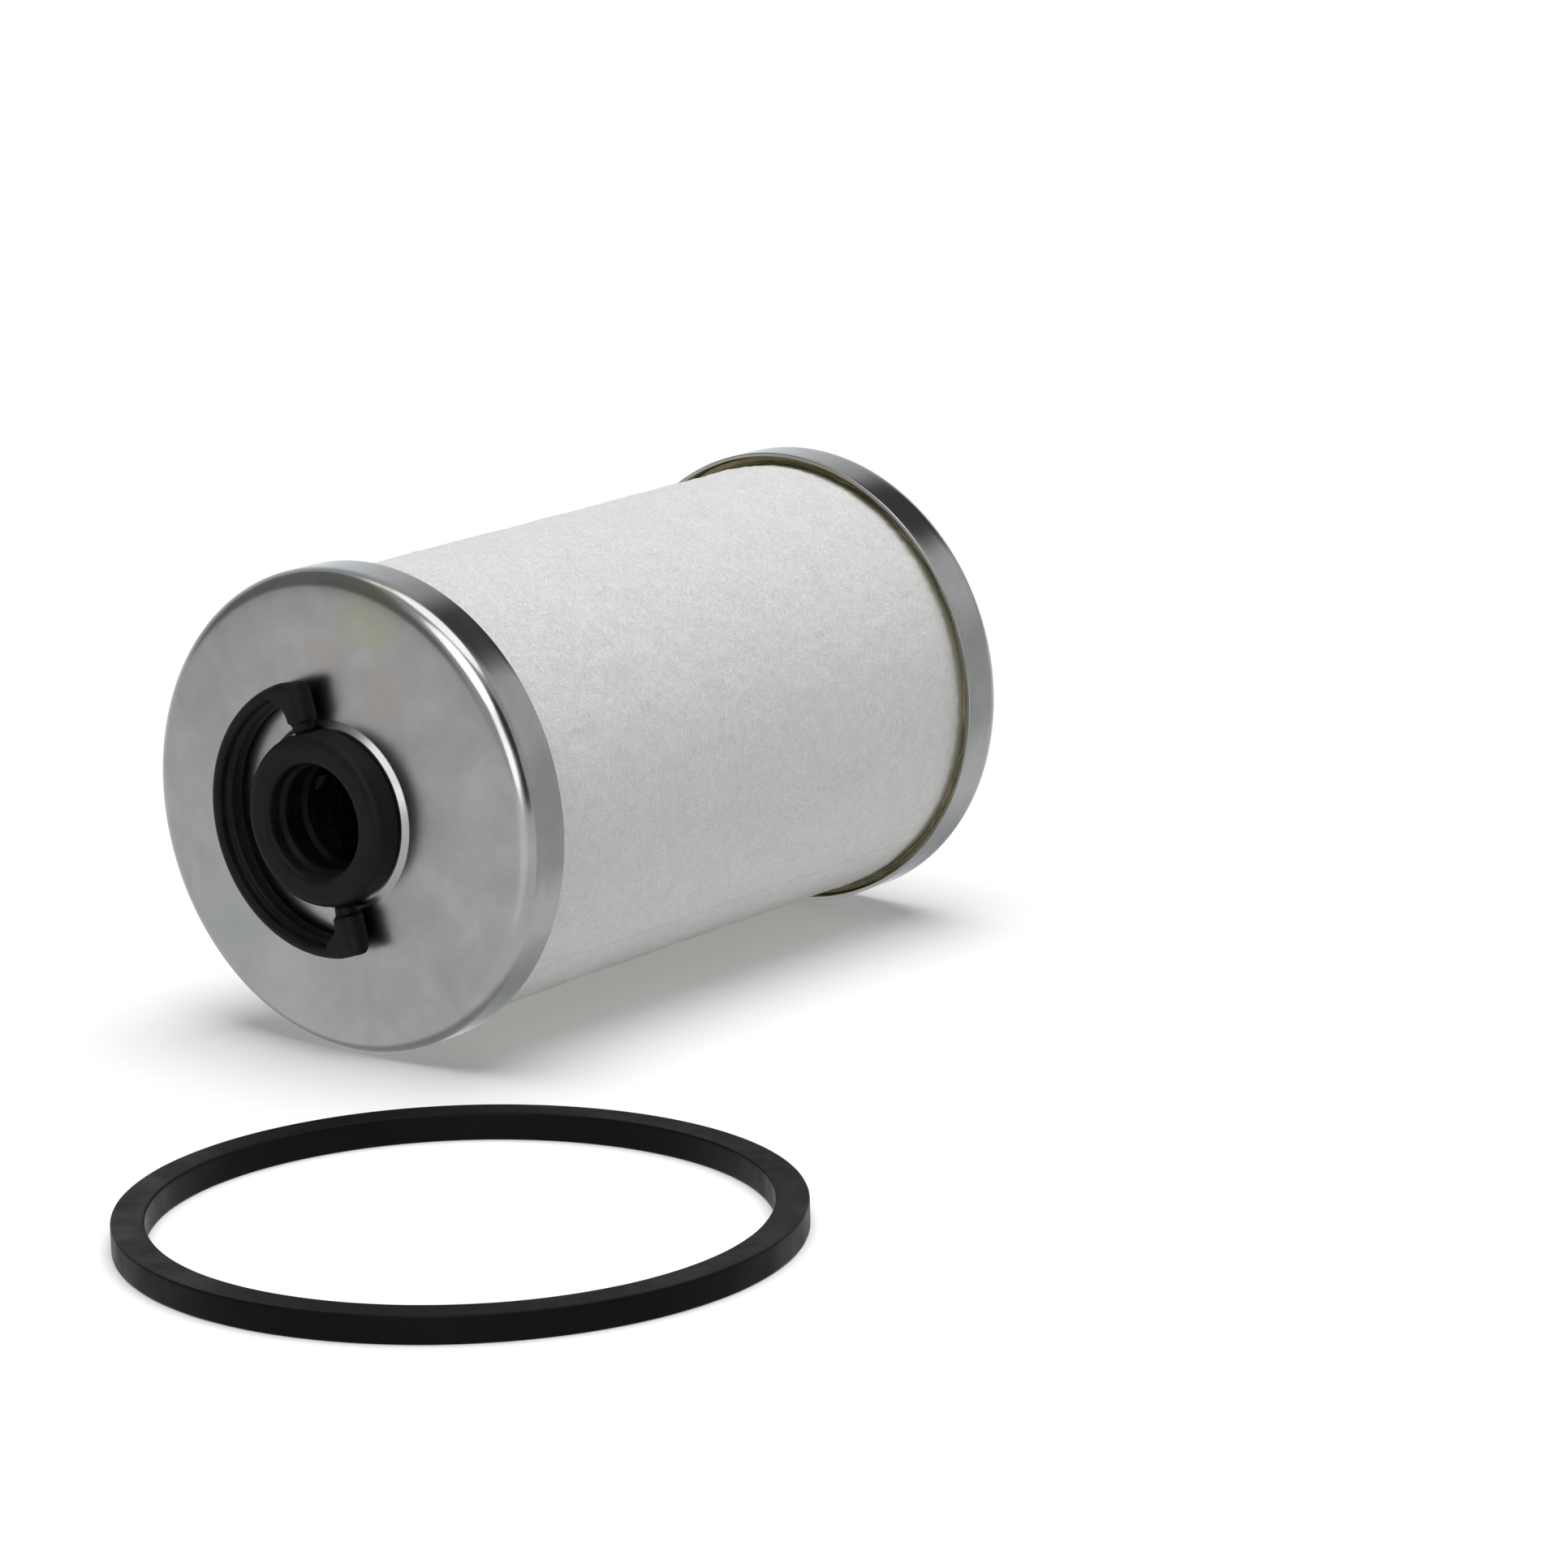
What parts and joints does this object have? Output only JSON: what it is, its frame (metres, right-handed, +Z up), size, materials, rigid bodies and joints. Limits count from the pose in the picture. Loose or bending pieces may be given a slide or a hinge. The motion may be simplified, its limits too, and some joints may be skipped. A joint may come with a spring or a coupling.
{
  "type": "felt filter cartridge",
  "caption": "Felt filter cartridge with sheet-metal end caps, rubber grommets, a pull bail at one end and a loose housing gasket.",
  "frame": {"origin": "on the cartridge's axis, in the plane of the rubber face at the end with the pull bail", "axes": "+Y along the cartridge's axis from the bail end to the plain end, +Z up from the floor that the cartridge and its gasket lie on"},
  "size_m": [0.133, 0.1945, 0.063],
  "materials": {
    "zinc_sheet": "satin",
    "tube_steel": "satin",
    "felt": "matte",
    "adhesive": "satin",
    "black_rubber": "matte",
    "gasket_rubber": "satin"
  },
  "bodies": {
    "cartridge": {"bail_end_cap": "zinc_sheet", "plain_end_cap": "zinc_sheet", "bail_end_adhesive": "adhesive", "plain_end_adhesive": "adhesive", "felt_tube": "felt", "centre_tube": "tube_steel", "bail_end_grommet": "black_rubber", "plain_end_grommet": "black_rubber"},
    "bail": {"pull_bail": "black_rubber"},
    "gasket": {"housing_gasket": "gasket_rubber"}
  },
  "joints": [
    {"name": "bail_hinge", "type": "hinge", "parent": "cartridge", "child": "bail", "pos_m": [0, 0.0024, 0], "axis": [-0.2504, 0, 0.9681], "range_deg": [0, 90], "stiffness_Nm_per_rad": 0.02},
    {"name": "gasket_lift", "type": "slide", "parent": "cartridge", "child": "gasket", "axis": [0, 0, 1], "range_m": [0, 0.04]}
  ]
}
